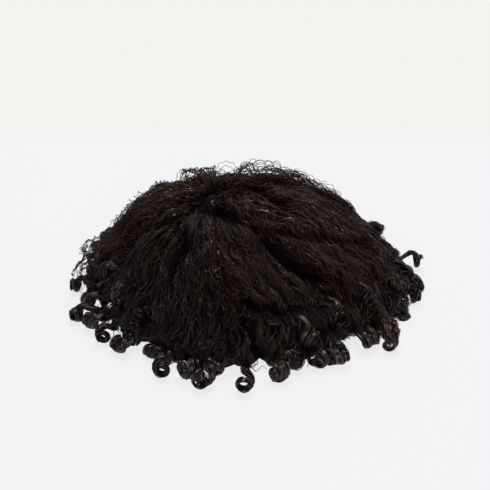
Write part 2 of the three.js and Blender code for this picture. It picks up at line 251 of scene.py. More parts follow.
# The fleece
TUFT_STRANDS = 3
TUFT_WIDTH = 3.5
TUFT_RAGGED = 0.03  # how far the ends of its strands lie apart
TUFT_DEPTH = 0.7
FLEECE_TUFTS = 39  # for each lock's width
FLEECE_START = 0.05
FLEECE_END = (0.54, 0.78)
FLEECE_DROP = (0.01, 0.8)  # from the crown to a strand's middle, of the height
FLEECE_LENGTH = (45.0, 110.0)
FLEECE_DEPTH = (-4.5, 2.0)
FLEECE_HUMP = 0.35  # share of the humps that it fills
FLEECE_SINK = -6.0  # of a strand's ends
FLEECE_SINK_SHARE = 0.2
# Painted shade: the fleece darkens to this share of its light between these shares of the way down.
FLEECE_END_PAINTED_LIGHT = 0.42
FLEECE_END_SHARE = (0.5, 0.75)
FLEECE_POLISHED = 0.2  # share of the strands that are smooth
FLEECE_POLISH = 0.7
WANDER = 3.0
WANDER_RATE = 6.0
CLUMP = 0.8
CLUMP_RISE = (0.15, 0.6)
CLUMP_DRIFT = 0.3  # of a lock's width
CLUMP_DRIFT_RATE = 9.0
CLUMP_DRIFT_STEP = 2.4  # between locks
ROOT_STRAY = 11.0
ROOT_SHARE = 0.4
CROWN_WIDTH = 0.15  # the least width of a section, of that at the rim
CRIMP_HEIGHT = (0.5, 1.3)
CRIMP_UNEVEN = (0.8, 1.2)
CRIMP_LENGTH = (7.0, 7.8)
CRIMP_FIELD = 3.0  # how far the phase of the crimp changes with the place
CRIMP_JITTER = 0.5
STREAM_INSET = 0.1  # of its strands' middles from its ends
STREAM_RAGGED = (-0.15, 0.08)
STREAM_RISE = 0.2
STREAM_FALL = 0.1
STREAM_PAINTED_LIGHT = 0.4  # share of its height that brings painted light

# Locks
RIM_STRANDS = 20
FRONT_STRANDS = 44  # where the locks are long and waved
LOCK_STRANDS = 14
LOCK_SEGMENT = 2.5
LOCK_RADIUS = (0.22, 0.4)
LOCK_START = (0.1, 0.4)  # how far above the ringlet its strands begin
LOCK_SPREAD = 0.5  # of a lock's width
LOCK_DEPTH = (-2.0, 2.5)
LOCK_SINK_SHARE = 0.25
LOCK_OUTSIDE = 1.04  # where the strands lie, of the band's size
LOCK_CRIMP = 0.9
LOCK_CRIMP_UNEVEN = (0.7, 1.2)
LOCK_CRIMP_LENGTH = (9.0, 14.0)
LOCK_JITTER = 0.5
LOCK_POLISH = 0.35
LOCK_GLOSS = (0.6, 1.0)
LOCK_RED = 0.6  # of the section's
LOCK_RED_SPREAD = 0.15
LOCK_SWAY = 4.4
LOCK_SWAY_SHARE = (0.4, 0.7)
LOCK_SWAY_LENGTH = (24.0, 36.0)
LOCK_SWAY_LEAN = 0.6
LEAVE_SHARE = 0.9  # where a lock leaves the hair for its ringlet
CURL_LEAVE = 0.06  # and how far above a curl
JOIN_STEPS = 5
JOIN_REACH = 0.42
BAND_SIDES = 20
BAND_START = 0.4
BAND_DEPTH = -2.0
BAND_LEAST = 0.05
BAND_GROOVE = (0.8, 1.0)
BAND_PAINTED_LIGHT = (0.06, 1.25)  # painted shade in a groove, and painted highlight on a ridge
# painted light on the band where it falls, of the section's
BAND_FALL_PAINTED_LIGHT = 0.95
BAND_WIDTH = (1.0, 2.1)  # of the part's
BAND_THICKNESS = (0.75, 1.7)
BAND_WIDENS = 0.4  # share of its length
BAND_TAPERS = 0.6
BAND_TIP = 0.8
BAND_TIP_SHARE = 0.93
BAND_RED = 0.4  # of the section's
BAND_RED_SPREAD = 0.1
BAND_SMOOTH = 0.4  # how far its streaks fade in the ringlet
BAND_AROUND = 1.6  # its girth, of its width and thickness

# Ringlets of strands
COIL_START = 0.06  # turns
COIL_STEPS_PER_TURN = 14
CRIMP_IN_JOIN = 0.6
CRIMP_IN_RINGLET = 0.1
WOUND_CHANCE = 0.85  # of a strand to follow the ringlet to its tip
UNWOUND = (0.3, 0.95)  # share of the ringlet that another leaves out
RINGLET_GLOSS = (0.35, 1.6)
# painted light on a ringlet's strands, above 1 as painted highlight
RINGLET_PAINTED_LIGHT = 1.5
RINGLET_TAPER = 0.5
RINGLET_FULL = 1.3  # its radius, of the part's
RINGLET_CLOSE = 0.55  # its pitch, of the part's
RINGLET_INWARD = 0.68  # its radius at the tip
RINGLET_HALF = 9.0  # half of its length
RINGLET_TURN_DEG = (-80.0, 80.0)  # how far it turns aside
FAR_END = (8.0, 18.0)  # past the rim, where a lock is thinner
FAR_FULL = 0.7
CURL_RADIUS = (4.5, 9.0)
CURL_TURNS = (1.0, 1.7)
CURL_YAW_DEG = (-70.0, 70.0)
CURL_LIFT = (-2.0, 3.0)
CURL_JITTER = (0.1, 0.9)
# painted light on a curl's strands
CURL_PAINTED_LIGHT = 1.0

# Strands that stand off the hair
STANDING_SINK = -3.0
STANDING_END = 0.99
STANDING_FULLNESS = 0.8
LOOSE_DRIFT = 0.9  # sideways, of a lock's width
LOOSE_GLOSS = 0.55
LOOSE_WAVE = (1.0, 2.3)
LOOSE_WAVE_SHARE = 0.3
LOOSE_WAVE_LENGTH = (9.0, 14.0)
WISP_STRANDS = 3
WISP_DRIFT = 0.7
WISP_RADIUS = (0.34, 0.48)
WISP_WIDTH = 1.0
WISP_DEPTH = 0.5
WISP_WAVE = (1.2, 2.8)
WISP_WAVE_SHARE = 0.25
WISP_WAVE_LENGTH = (12.0, 16.0)
WISP_UNEVEN = (0.85, 1.1)
WISP_JITTER = 0.25
ARCH_STEPS = 40
ARCH_FULLNESS = 0.6
ARCH_WAVE = 0.8
ARCH_WAVE_LENGTH = (7.0, 10.0)

# The core of each section, dark with painted shade
CORE_START = 0.06
CORE_ROWS = 48
CORE_COLUMNS_PER_LOCK = 8
CORE_INSET = -5.5
CORE_RIM_INSET = -6.0
CORE_RIM_SHARE = (0.6, 0.85)
CORE_RIDGE = 0.8
CORE_RIDGE_TURN = 1.3
# painted light of the core, low as painted shade, and its loss in each millimetre of a hollow
CORE_PAINTED_LIGHT = 0.38
CORE_HOLLOW_PAINTED_SHADE = 0.13
CORE_HUMP = 0.1
CORE_CLEARANCE = 0.3
CAP_CLEARANCE = 0.5

# The whorl at the crown
WHORL_SIDES = 24
WHORL_RINGS = 6
WHORL_HOLE = 0.02
WHORL_SINK = 7.0
WHORL_DOME = 2.0
# red share, polish, painted light and streak of the middle: low painted light, as painted shade
WHORL_PAINTED_SHADE_TINT = (0.4, 0.0, 0.1, 0.0)
WHORL_AROUND = 100.0
WHORL_TUFTS = 110
WHORL_ASIDE = (4.0, 10.0)  # the mean and spread of the tufts' distance from the crown
WHORL_BEHIND = (0.0, 22.0)
WHORL_LENGTH = (20.0, 46.0)
WHORL_TOP = (-4.5, 0.5)
WHORL_RED = (0.2, 0.8)
# painted shade on the tufts' colour and gloss
WHORL_PAINTED_SHADE = 0.6
WHORL_STRAY = 1.2
WHORL_STRAY_TURN = 0.1
WHORL_DEPTH = 0.8
WHORL_SINK_SHARE = 0.25
WHORL_LEAN = 0.7


def lerp(low, high, share):
    return low + (high - low) * share


def smooth(value, low, high):
    share = np.clip((value - low) / (high - low), 0, 1)
    return share * share * (3 - 2 * share)


def unit(vectors):
    return vectors / np.linalg.norm(vectors, axis=-1, keepdims=True)


def spread(index, limits, step):
    """Values spread evenly between two limits, as the part spreads them."""
    return lerp(*limits, (index * step) % 1)


def turned(vector, axis, angle):
    """The vector turned about a unit axis."""
    cosine, sine = math.cos(angle), math.sin(angle)
    return vector * cosine + np.cross(axis, vector) * sine + axis * np.dot(axis, vector) * (1 - cosine)


def table_rows(columns, rows):
    return [SimpleNamespace(**dict(zip(columns, row))) for row in rows]


def rows_of(section, columns, rows):
    """The rows of a table that are for one section."""
    return [row for row in table_rows(columns, rows) if row.section == section.name]


def make_sections():
    sections = table_rows(SECTION_COLUMNS, SECTION_ROWS)
    first_lock = 0
    for index, section in enumerate(sections):
        section.index = index
        section.locks = len(section.ends)
        section.first_lock = first_lock
        first_lock += section.locks
    return sections


sections = make_sections()
FIRST_FRONT = [section.name for section in sections].index("left_fan")


def column(name, wrap=0.0):
    """A column of the sections' table, with the first section's value again at its end."""
    values = [getattr(section, name) for section in sections]
    return np.array([*values, values[0] + wrap], float)


RIMS, ROOTS = column("rim", 360), column("root", 360)
DEPTHS, SWELLS, HUMPS = column("depth"), column("swell"), column("hump")
REACHES, LOCKS = column("reach"), column("locks")


def make_noise():
    """Waves in random directions, and their phases."""
    rng = np.random.default_rng(7)
    ways = unit(rng.normal(0, 1, (NOISE_COUNT, 3)))
    lengths = rng.uniform(*NOISE_LENGTH, (NOISE_COUNT, 1))
    return ways * 2 * np.pi / lengths, rng.uniform(*FULL_TURN, NOISE_COUNT)


NOISE_WAVES, NOISE_PHASES = make_noise()


def noise(points):
    """Smooth values, mostly between -1 and 1, that change over a few centimetres."""
    return np.sin(points @ NOISE_WAVES.T + NOISE_PHASES).sum(-1) / math.sqrt(NOISE_COUNT)


def hollow_points():
    """Points along the middle lines of the hollows: azimuth, share, depth and half width."""
    points = []
    for row in table_rows(HOLLOW_COLUMNS, HOLLOW_ROWS):
        azimuths, shares = np.array(row.line).T
        knots = np.arange(len(azimuths))
        stations = np.linspace(0, len(azimuths) - 1, HOLLOW_STATIONS * len(azimuths))
        for azimuth, share in zip(np.interp(stations, knots, azimuths), np.interp(stations, knots, shares)):
            points.append((azimuth, share, row.depth, row.width))
    return np.array(points).T


HOLLOWS = hollow_points()
DIPS = table_rows(DIP_COLUMNS, DIP_ROWS)


def half_turn(degrees):
    """The same angle between -180 and 180 degrees."""
    return (degrees + 180) % 360 - 180


def hollow_at(azimuth, share):
    """How deep the hollows are at places of the surface."""
    azimuths, shares, depths, widths = HOLLOWS
    turn = np.radians(half_turn(azimuth[:, None] - azimuths))
    aside = turn * RIM_RADIUS * np.sin(np.pi / 4 * (share[:, None] + shares))
    down = (share[:, None] - shares) * FALL_LENGTH
    return (depths * np.exp(-(aside**2 + down**2) / widths**2)).max(1)


def dip_at(azimuth, share):
    """How much lower than the part the hair lies."""
    dip = 0
    for row in DIPS:
        turn = half_turn(azimuth - row.azimuth) / row.turn
        dip = dip + row.depth * np.exp(-(turn**2) - ((share - row.share) / row.length) ** 2)
    return dip


def relief_at(index, across, share, hump):
    """How far the partings, swells, humps and locks raise the surface."""
    middle = np.maximum(np.sin(np.pi * across), 0) ** SECTION_ROUNDING
    parting = -lerp(DEPTHS[index], DEPTHS[index + 1], across) * (1 - middle)
    lock = LOCK_RELIEF * np.abs(np.sin(np.pi * across * LOCKS[index]))
    humped = hump * smooth(share, *HUMP_RISE) * (1 - smooth(share, *HUMP_FALL)) * HUMPS[index] * middle
    swollen = smooth(share, *SWELL_RISE) * (parting + SWELLS[index] * middle)
    return swollen + humped + smooth(share, *LOCK_RISE) * lock


def partings(share):
    """The azimuths of the partings, a row for each."""
    return lerp(ROOTS[:, None], RIMS[:, None], smooth(share, 0, 1)[None, :])


def hair_point(section, across, share, lift=0.0, hump=1.0):
    """Points of the hair's outer surface, raised by lift, with the way out of the hair and the depth of the
    hollows at each. share runs from the crown to the table, and across from a section's first parting to its
    last, or on into its neighbours. hump is the share of the humps that the surface follows."""
    across, share, lift = np.broadcast_arrays(np.atleast_1d(np.asarray(across, float)), share, lift)
    lines = partings(share)
    return hair_at(lerp(lines[section.index], lines[section.index + 1], across), share, lift, hump)


def hair_at(azimuth, share, lift, hump=1.0):
    """The same by azimuth."""
    lines = partings(share)
    azimuth = lines[0] + (azimuth - lines[0]) % 360
    index = np.clip((azimuth >= lines).sum(0) - 1, 0, len(sections) - 1)
    place = np.arange(len(azimuth))
    start, end = lines[index, place], lines[index + 1, place]
    across = np.clip((azimuth - start) / (end - start), 0, 1)
    neighbour = np.where(across < 0.5, index - 1, index + 1)
    neighbour = np.where(neighbour < 0, len(sections) - 1, neighbour)
    reach = lerp(REACHES[index], (REACHES[index] + REACHES[neighbour]) / 2, (2 * across - 1) ** 2)
    wave = LOCK_WAVE_DEG * np.sin(np.pi * across) * np.sin(2 * np.pi * LOCK_WAVES * share)
    turn, tilt = np.radians(azimuth + wave), np.pi / 2 * share
    x = lerp(CROWN[0], RIM_RADIUS * reach * np.cos(turn), np.sin(tilt))
    y = lerp(CROWN[1], RIM_RADIUS * reach * np.sin(turn), np.sin(tilt))
    z = CROWN[2] * np.maximum(np.cos(tilt), 0) ** SLOPE_POWER
    point = np.stack([x, y, z], -1)
    out = unit(point - OUT_FROM)
    hollow = hollow_at(azimuth, share)
    lumps = LUMP_HEIGHT * noise(point) * smooth(share, *LUMP_RISE) * (1 - smooth(share, *LUMP_FALL))
    rise = relief_at(index, across, share, hump) + lumps - hollow - dip_at(azimuth, share) + lift
    return point + out * rise[:, None], out, hollow


def painted_light(lift, hollow):
    """Painted light: how far hair lies in the open, from its height over the surface and the depth of the
    hollow there. It darkens colour and gloss as painted shade where hair lies deep or in a hollow.
    """
    return smooth(lift, *PAINTED_SHADE_LIFT) * np.maximum(1 - HOLLOW_PAINTED_SHADE * hollow, HOLLOW_PAINTED_LIGHT)


def place_in_scene(name, data):
    thing = bpy.data.objects.new(name, data)
    bpy.context.scene.collection.objects.link(thing)
    return thing


class Hair:
    """Gathers bodies made of rings of corners, such as strands and locks, into one mesh."""

    def __init__(self):
        self.points, self.tints, self.loops, self.sizes = [], [], [], []
        self.places, self.flows, self.cells = [], [], []
        self.count = 0
        self.bodies = 0

    def add(self, rings, tint, along, around, strip_ends=False, closed=True):
        """rings has a row of corners for each ring. tint is one colour for each ring, or for each of its
        corners. along and around are the lengths that fine streaks are laid out by. The ends of a closed
        body close with one face, or with a strip of faces between the two halves of the ring."""
        steps, sides = rings.shape[:2]
        spans = sides if closed else sides - 1
        ring, side = np.meshgrid(np.arange(steps - 1), np.arange(spans), indexing="ij")
        low, high, next_side = ring * sides, (ring + 1) * sides, (side + 1) % sides
        quads = np.stack([low + side, high + side, high + next_side, low + next_side], -1).reshape(-1, 4)
        step_of = np.stack([ring, ring + 1, ring + 1, ring], -1).reshape(-1)
        side_of = np.stack([side, side, side + 1, side + 1], -1).reshape(-1)
        self._keep(quads, np.stack([step_of / (steps - 1), side_of / sides], -1), along, around)
        if closed:
            self._close(sides, (steps - 1) * sides, along, around, strip_ends)
        self.points.append(rings.reshape(-1, 3))
        self.tints.append(tint.reshape(-1, 4) if tint.ndim == 3 else np.repeat(tint, sides, axis=0))
        self.count += steps * sides
        self.bodies += 1

    def _close(self, sides, last, along, around, strip_ends):
        left = np.arange(sides // 2 - 1)
        strip = np.stack([left, left + 1, sides - 2 - left, sides - 1 - left], -1)
        order = strip if strip_ends else np.arange(sides)[None, :]
        edge = STRIP_EDGE if strip_ends else FACE_EDGE
        for faces, end, past in ((order, 0, -edge), (last + order[:, ::-1], 1, 1 + edge)):
            corner = faces % sides
            inner = corner >= sides // 2 if strip_ends else corner % 2 == 1
            if strip_ends:
                corner = np.where(inner, sides - 1 - corner, corner)
            place = np.stack([np.where(inner, past, end), corner / sides], -1)
            self._keep(faces, place.reshape(-1, 2), along, around)

    def _keep(self, faces, places, along, around):
        self.loops.append(faces.reshape(-1) + self.count)
        self.sizes.append(np.full(len(faces), faces.shape[1]))
        self.places.append(places)
        self.flows.append(places * (along, around) + (0, self.bodies * FLOW_STEP))
        self.cells.append(np.full(len(places), self.bodies))

    def make(self, name, material):
        """The object. Its map OFBake gives each body a strip of its own, the first one wider."""
        points = np.concatenate(self.points)
        points[:, 2] = np.maximum(points[:, 2], 0)
        points = points * MM + CAP_MIDDLE
        loops, sizes = np.concatenate(self.loops), np.concatenate(self.sizes)
        starts = np.concatenate([[0], np.cumsum(sizes)[:-1]])
        mesh = bpy.data.meshes.new(name)
        mesh.vertices.add(len(points))
        mesh.vertices.foreach_set("co", points.astype(np.float32).ravel())
        mesh.loops.add(len(loops))
        mesh.loops.foreach_set("vertex_index", loops.astype(np.int32))
        mesh.polygons.add(len(sizes))
        mesh.polygons.foreach_set("loop_start", starts.astype(np.int32))
        mesh.polygons.foreach_set("loop_total", sizes.astype(np.int32))
        mesh.update(calc_edges=True)
        tint = mesh.color_attributes.new("tint", "FLOAT_COLOR", "POINT")
        tint.data.foreach_set("color", np.concatenate(self.tints).astype(np.float32).ravel())
        for layer, places in (("flow", np.concatenate(self.flows)), ("OFBake", self._bake_places())):
            mesh.uv_layers.new(name=layer).data.foreach_set("uv", places.astype(np.float32).ravel())
        mesh.polygons.foreach_set("use_smooth", np.ones(len(sizes), bool))
        mesh.materials.append(material)
        mesh.validate()
        thing = place_in_scene(name, mesh)
        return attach(thing, "root")

    def _bake_places(self):
        first_height, margin, columns = 0.25, 0.06, 4
        places, cells = np.concatenate(self.places), np.concatenate(self.cells)
        rows = max(1, math.ceil((self.bodies - 1) / columns))
        inside = lerp(margin, 1 - margin, places)
        strip = cells - 1
        u = np.where(cells == 0, inside[:, 0], (strip % columns + inside[:, 0]) / columns)
        later = first_height + (1 - first_height) * (strip // columns + inside[:, 1]) / rows
        return np.stack([u, np.where(cells == 0, first_height * inside[:, 1], later)], -1)


def sideways(path, out):
    """The ways across a path and up from it, from the ways out of the hair."""
    along = unit(np.gradient(path, axis=0))
    across = unit(np.cross(along, out))
    return across, np.cross(across, along)


def tube_rings(path, out, half_width, half_thickness, profile):
    """Rings of corners along a path, wide across it and thick along the way out. profile has each corner's
    share of the full size."""
    across, up = sideways(path, out)
    angle = 2 * np.pi * np.arange(len(profile)) / len(profile)
    wide = half_width[:, None, None] * (profile * np.cos(angle))[None, :, None] * across[:, None, :]
    thick = half_thickness[:, None, None] * (profile * np.sin(angle))[None, :, None] * up[:, None, :]
    return path[:, None, :] + wide + thick


def arc_lengths(path):
    steps = np.linalg.norm(np.diff(path, axis=-2), axis=-1)
    return np.concatenate([np.zeros((*steps.shape[:-1], 1)), np.cumsum(steps, axis=-1)], -1)


def add_strand(hair, path, out, radius, shade, painted_light_share, gloss=1.0, polish=0.0, twist=None):
    """One strand, round on its outer side, or flat and turned by twist. shade is its share of the lighter,
    redder colour, and painted_light_share the painted light at each point, with painted shade where it lies
    deep or in a hollow. gloss scales its painted light, and polish is 1 where it is smooth."""
    place = np.linspace(0, 1, len(path))
    radii = (radius * lerp(1, STRAND_TIP, smooth(place, STRAND_TIP_SHARE, 1)))[:, None]
    path = path.copy()
    path[:, 2] = np.maximum(path[:, 2], radius + STRAND_CLEARANCE)
    across, up = sideways(path, out)
    if twist is None:
        rings = np.stack([path + across * radii, path + up * radii, path - across * radii], 1)
    else:
        turn = twist + TWIST_SWING * np.sin(TWIST_RATE * place + TWIST_SHIFT * twist)
        edge = (across * np.cos(turn)[:, None] + up * np.sin(turn)[:, None]) * radii
        rings = np.stack([path + edge, path - edge], 1)
    ones = np.ones(len(path))
    tint = np.stack([shade * ones, polish * ones, gloss * painted_light_share * ones, ones], -1)
    hair.add(rings, tint, arc_lengths(path)[-1], 3 * radius, closed=False)


def coil_path(lock, turns, wide=0.0, thick=0.0):
    """Points of a lock's ringlet, off its middle line across its band and out of its axis, with the ways
    out."""
    side = unit(np.cross(UP, lock.axis))
    up = np.cross(lock.axis, side)

    def middle(turn):
        lead = RINGLET_LEAD * (1 - np.exp(-turn / RINGLET_LEAD_TURNS))
        along = RINGLET_CLOSE * RINGLET_PITCH * turn + lead
        angle = (2 * np.pi * turn)[:, None]
        radial = up * np.cos(angle) + side * lock.hand * np.sin(angle)
        radius = lock.radius * lerp(1, RINGLET_INWARD, turn / lock.turns)
        return lock.mouth + lock.axis * along[:, None] + radial * radius[:, None], radial

    point, radial = middle(turns)
    ahead = middle(turns + NEARBY)[0]
    across = unit(np.cross(unit(ahead - point), radial))
    narrow = lerp(1, RINGLET_TAPER, turns / lock.turns)[:, None]
    return point + (across * wide + radial * thick) * narrow, radial


def join_path(start, end):
    """A smooth bridge between the last two points of one line and the first two of another."""
    reach = JOIN_REACH * np.linalg.norm(end[0] - start[-1])
    first = start[-1] + reach * unit(start[-1] - start[-2])
    second = end[0] - reach * unit(end[1] - end[0])
    t = np.linspace(0, 1, JOIN_STEPS + 2)[1:-1, None]
    near = (1 - t) ** 3 * start[-1] + 3 * (1 - t) ** 2 * t * first
    return near + 3 * (1 - t) * t**2 * second + t**3 * end[0]


def waved(path, out, height, length, phase, lean, before=0.0):
    """The path with an uneven wave of that height across it and, by lean, out of the hair. before is the
    length that the wave has run where the path begins."""
    across, _ = sideways(path, out)
    angle = 2 * np.pi * (before + arc_lengths(path)) / length + phase
    angle = (angle + WAVE_UNEVEN * np.sin(WAVE_UNEVEN_RATE * angle + 2 * phase))[:, None]
    return path + height[:, None] * (across * np.sin(angle) + lean * out * np.cos(angle))


def lock_path(section, lock, start, root, offset, depth, wide, thick):
    """The line of a strand that gathers onto a lock and follows its ringlet to the tip, with the ways out,
    the share of the crimp and the painted light at each point, with painted shade where it lies deep or in a
    hollow, and how far each point is in the ringlet."""
    fall_steps = max(6, round((lock.leave - start) * FALL_LENGTH / LOCK_SEGMENT))
    share, place = np.linspace(start, lock.leave, fall_steps), np.linspace(0, 1, fall_steps)
    across = lerp(root, lock.across + offset, smooth(place, 0, 1))
    lift = lerp(FLEECE_SINK, depth, smooth(place, 0, LOCK_SINK_SHARE))
    fall, out, hollow = hair_point(section, across, share, lift)
    sway = LOCK_SWAY * smooth(share, *LOCK_SWAY_SHARE)
    fall = waved(fall, out, sway, lock.sway_length, lock.sway_phase, LOCK_SWAY_LEAN, start * FALL_LENGTH)
    turns = np.linspace(COIL_START, lock.turns, round(lock.turns * COIL_STEPS_PER_TURN))
    coil, radial = coil_path(lock, turns, wide, thick)
    blend = np.linspace(0, 1, JOIN_STEPS + 2)[1:-1, None]
    ways = np.concatenate([out, unit(lerp(out[-1], radial[0], blend) + 1e-6), radial])
    wound = JOIN_STEPS + len(turns)
    crimp = np.concatenate([np.ones(fall_steps), np.linspace(CRIMP_IN_JOIN, CRIMP_IN_RINGLET, wound)])
    # the ringlet takes the lock's painted light
    painted_light_share = np.concatenate([painted_light(lift, hollow), np.full(wound, lock.open)])
    ringlet = 1 - smooth(crimp, CRIMP_IN_RINGLET, 1)
    return np.concatenate([fall, join_path(fall, coil), coil]), ways, crimp, painted_light_share, ringlet


def add_band(hair, section, lock, rng):
    """The grooved band that winds into a lock's ringlet."""
    line = lock_path(section, lock, lock.leave - BAND_START, lock.across, 0, BAND_DEPTH, 0, 0)
    path, ways, _, painted_light_share, ringlet = line
    place = np.linspace(0, 1, len(path))
    tip = 1 - BAND_TIP * smooth(place, BAND_TIP_SHARE, 1) ** 2
    narrow = smooth(place, 0, BAND_WIDENS) * lerp(1, RINGLET_TAPER, smooth(place, BAND_TAPERS, 1)) * tip
    half_width = BAND_LEAST + lock.width / 2 * narrow
    half_thickness = BAND_LEAST + lock.thickness / 2 * narrow
    path[:, 2] = np.maximum(path[:, 2], half_thickness)
    profile = rng.uniform(0, 1, BAND_SIDES)
    rings = tube_rings(path, ways, half_width, half_thickness, lerp(*BAND_GROOVE, profile))
    # Painted light: the section's painted light on the fall and the ringlet, painted shade in the grooves and
    # painted highlight on the ridges.
    level = painted_light_share * lerp(section.light * BAND_FALL_PAINTED_LIGHT, section.shine, ringlet)
    tint = np.empty((len(path), BAND_SIDES, 4))
    tint[..., 0] = np.clip(BAND_RED * section.red + rng.normal(0, BAND_RED_SPREAD, BAND_SIDES), 0, 1)
    tint[..., 1] = ringlet[:, None]
    tint[..., 2] = np.outer(level, lerp(*BAND_PAINTED_LIGHT, profile**2))
    tint[..., 3] = BAND_SMOOTH * ringlet[:, None]
    hair.add(rings, tint, arc_lengths(path)[-1], BAND_AROUND * (lock.width + lock.thickness))


def add_lock(hair, section, lock, rng):
    """A lock: a band that winds into the ringlet, and strands that gather onto it."""
    add_band(hair, section, lock, rng)
    crimp_length, phase = rng.uniform(*LOCK_CRIMP_LENGTH), rng.uniform(*FULL_TURN)
    for _ in range(lock.strands):
        start = lock.leave - rng.uniform(*LOCK_START)
        angle = rng.uniform(*FULL_TURN)
        wide, thick = math.cos(angle) / 2, math.sin(angle) / 2
        root, depth = lock.across + rng.normal(0, LOCK_SPREAD / section.locks), rng.uniform(*LOCK_DEPTH)
        off_wide, off_thick = wide * LOCK_OUTSIDE * lock.width, thick * LOCK_OUTSIDE * lock.thickness
        offset = wide * LOCK_SPREAD / section.locks
        line = lock_path(section, lock, start, root, offset, depth, off_wide, off_thick)
        if rng.uniform() > WOUND_CHANCE:
            kept = len(line[0]) - round(lock.turns * COIL_STEPS_PER_TURN * rng.uniform(*UNWOUND))
            line = [values[:kept] for values in line]
        path, ways, crimp, painted_light_share, ringlet = line
        swing = LOCK_CRIMP * rng.uniform(*LOCK_CRIMP_UNEVEN) * crimp
        own_phase, lean = phase + rng.normal(0, LOCK_JITTER), rng.uniform(*LEAN)
        path = waved(path, ways, swing, crimp_length, own_phase, lean, start * FALL_LENGTH)
        shade = np.clip(LOCK_RED * section.red + rng.normal(0, LOCK_RED_SPREAD), 0, 1)
        # painted highlight on the ringlet's strands: the section's shine, varied at random for each strand
        shine = section.shine * lerp(*RINGLET_GLOSS, rng.uniform() ** 2)
        painted_light_share = painted_light_share * lerp(section.light, shine, ringlet)
        polish = lerp(LOCK_POLISH, 1, ringlet)
        gloss, twist = rng.uniform(*LOCK_GLOSS), rng.uniform(-TWIST, TWIST)
        add_strand(hair, path, ways, rng.uniform(*LOCK_RADIUS), shade, painted_light_share, gloss, polish, twist)


def red_share(section, rng):
    return np.clip(section.red + rng.normal(0, RED_SPREAD), 0, 1)


def clumped(section, across, share):
    """Places across a section drawn towards the middles of its locks, more so further down, where the locks
    wander."""
    turn = 2 * np.pi * section.locks
    lock = np.floor(across * section.locks)
    far = smooth(share, *CLUMP_RISE)
    drift = CLUMP_DRIFT * far * np.sin(CLUMP_DRIFT_RATE * share + CLUMP_DRIFT_STEP * lock + section.index)
    return across + CLUMP * far * np.sin(turn * across) / turn + drift / section.locks


def add_fleece(hair, section, first, last, middle, root, end, lift, rng):
    """A few strands side by side, from one share of the way down to another, that sink in at their ends."""
    half = rng.uniform(*FLEECE_LENGTH) / FALL_LENGTH / 2
    begin, finish = max(first, middle - half), min(last, middle + half)
    depth = rng.uniform(*FLEECE_DEPTH)
    crimp_length, height = rng.uniform(*CRIMP_LENGTH), rng.uniform(*CRIMP_HEIGHT)
    lean = rng.uniform(*LEAN)
    shade = red_share(section, rng)
    wander, wander_phase = rng.normal(0, WANDER), rng.uniform(*FULL_TURN)
    stray = rng.normal(0, ROOT_STRAY)
    phase = None
    for _ in range(TUFT_STRANDS):
        start = max(first, begin + rng.uniform(-TUFT_RAGGED, TUFT_RAGGED))
        stop = min(last, finish + rng.uniform(-TUFT_RAGGED, TUFT_RAGGED))
        steps = max(8, round((stop - start) * FALL_LENGTH / SEGMENT))
        share, place = np.linspace(start, stop, steps), np.linspace(0, 1, steps)
        width = LOCK_WIDTH * section.locks * np.maximum(np.sin(np.pi / 2 * share), CROWN_WIDTH)
        aside = wander * np.sin(WANDER_RATE * place + wander_phase)
        aside = aside + stray * (1 - smooth(share, 0, ROOT_SHARE)) + rng.normal(0, TUFT_WIDTH)
        across = clumped(section, lerp(root, end, smooth(share, first, last)), share) + aside / width
        ends = smooth(place, 0, FLEECE_SINK_SHARE) * (1 - smooth(place, 1 - FLEECE_SINK_SHARE, 1))
        depths = lerp(FLEECE_SINK, depth + rng.uniform(-TUFT_DEPTH, TUFT_DEPTH), ends)
        rise = lift * smooth(share, first, first + STREAM_RISE)
        rise = rise * (1 - smooth(share, last - STREAM_FALL, last))
        path, out, hollow = hair_point(section, across, share, depths + rise, FLEECE_HUMP)
        if phase is None:
            phase = CRIMP_FIELD * noise(path[steps // 2]) + rng.normal(0, CRIMP_JITTER)
        heights = np.full(steps, height * rng.uniform(*CRIMP_UNEVEN))
        own_phase = phase + rng.normal(0, CRIMP_JITTER)
        path = waved(path, out, heights, crimp_length, own_phase, lean, start * FALL_LENGTH)
        # painted shade towards the fleece's lower end
        painted_end_shade = lerp(1, FLEECE_END_PAINTED_LIGHT, smooth(share, *FLEECE_END_SHARE))
        painted_light_share = painted_light(depths + STREAM_PAINTED_LIGHT * rise, hollow) * painted_end_shade
        # painted light: the section's own share of light, lighter or darker by how the light falls on it,
        # times a random tone for each strand
        gloss, twist = section.light * rng.uniform(*GLOSS), rng.uniform(-TWIST, TWIST)
        polish = FLEECE_POLISH * (rng.uniform() < FLEECE_POLISHED)
        add_strand(hair, path, out, rng.uniform(*STRAND_RADIUS), shade, painted_light_share, gloss, polish, twist)


def add_body(hair, section, rng):
    """The fleece of a section, even over its surface, and the streams that lie over it."""
    tufts = FLEECE_TUFTS * section.locks
    for i in range(tufts):
        across = (i + rng.uniform(0, 1)) / tufts
        middle = 2 / math.pi * math.acos(1 - rng.uniform(*FLEECE_DROP))
        last = rng.uniform(*FLEECE_END)
        add_fleece(hair, section, FLEECE_START, last, middle, across, across, 0.0, rng)
    for row in rows_of(section, STREAM_COLUMNS, STREAM_ROWS):
        first, end_share = row.shares
        for i in range(row.count):
            place = (i + rng.uniform(0, 1)) / row.count
            middle = rng.uniform(first + STREAM_INSET, end_share - STREAM_INSET)
            last = end_share + rng.uniform(*STREAM_RAGGED)
            root, end = lerp(*row.root, place), lerp(*row.end, place)
            add_fleece(hair, section, first, last, middle, root, end, rng.uniform(*row.lift), rng)


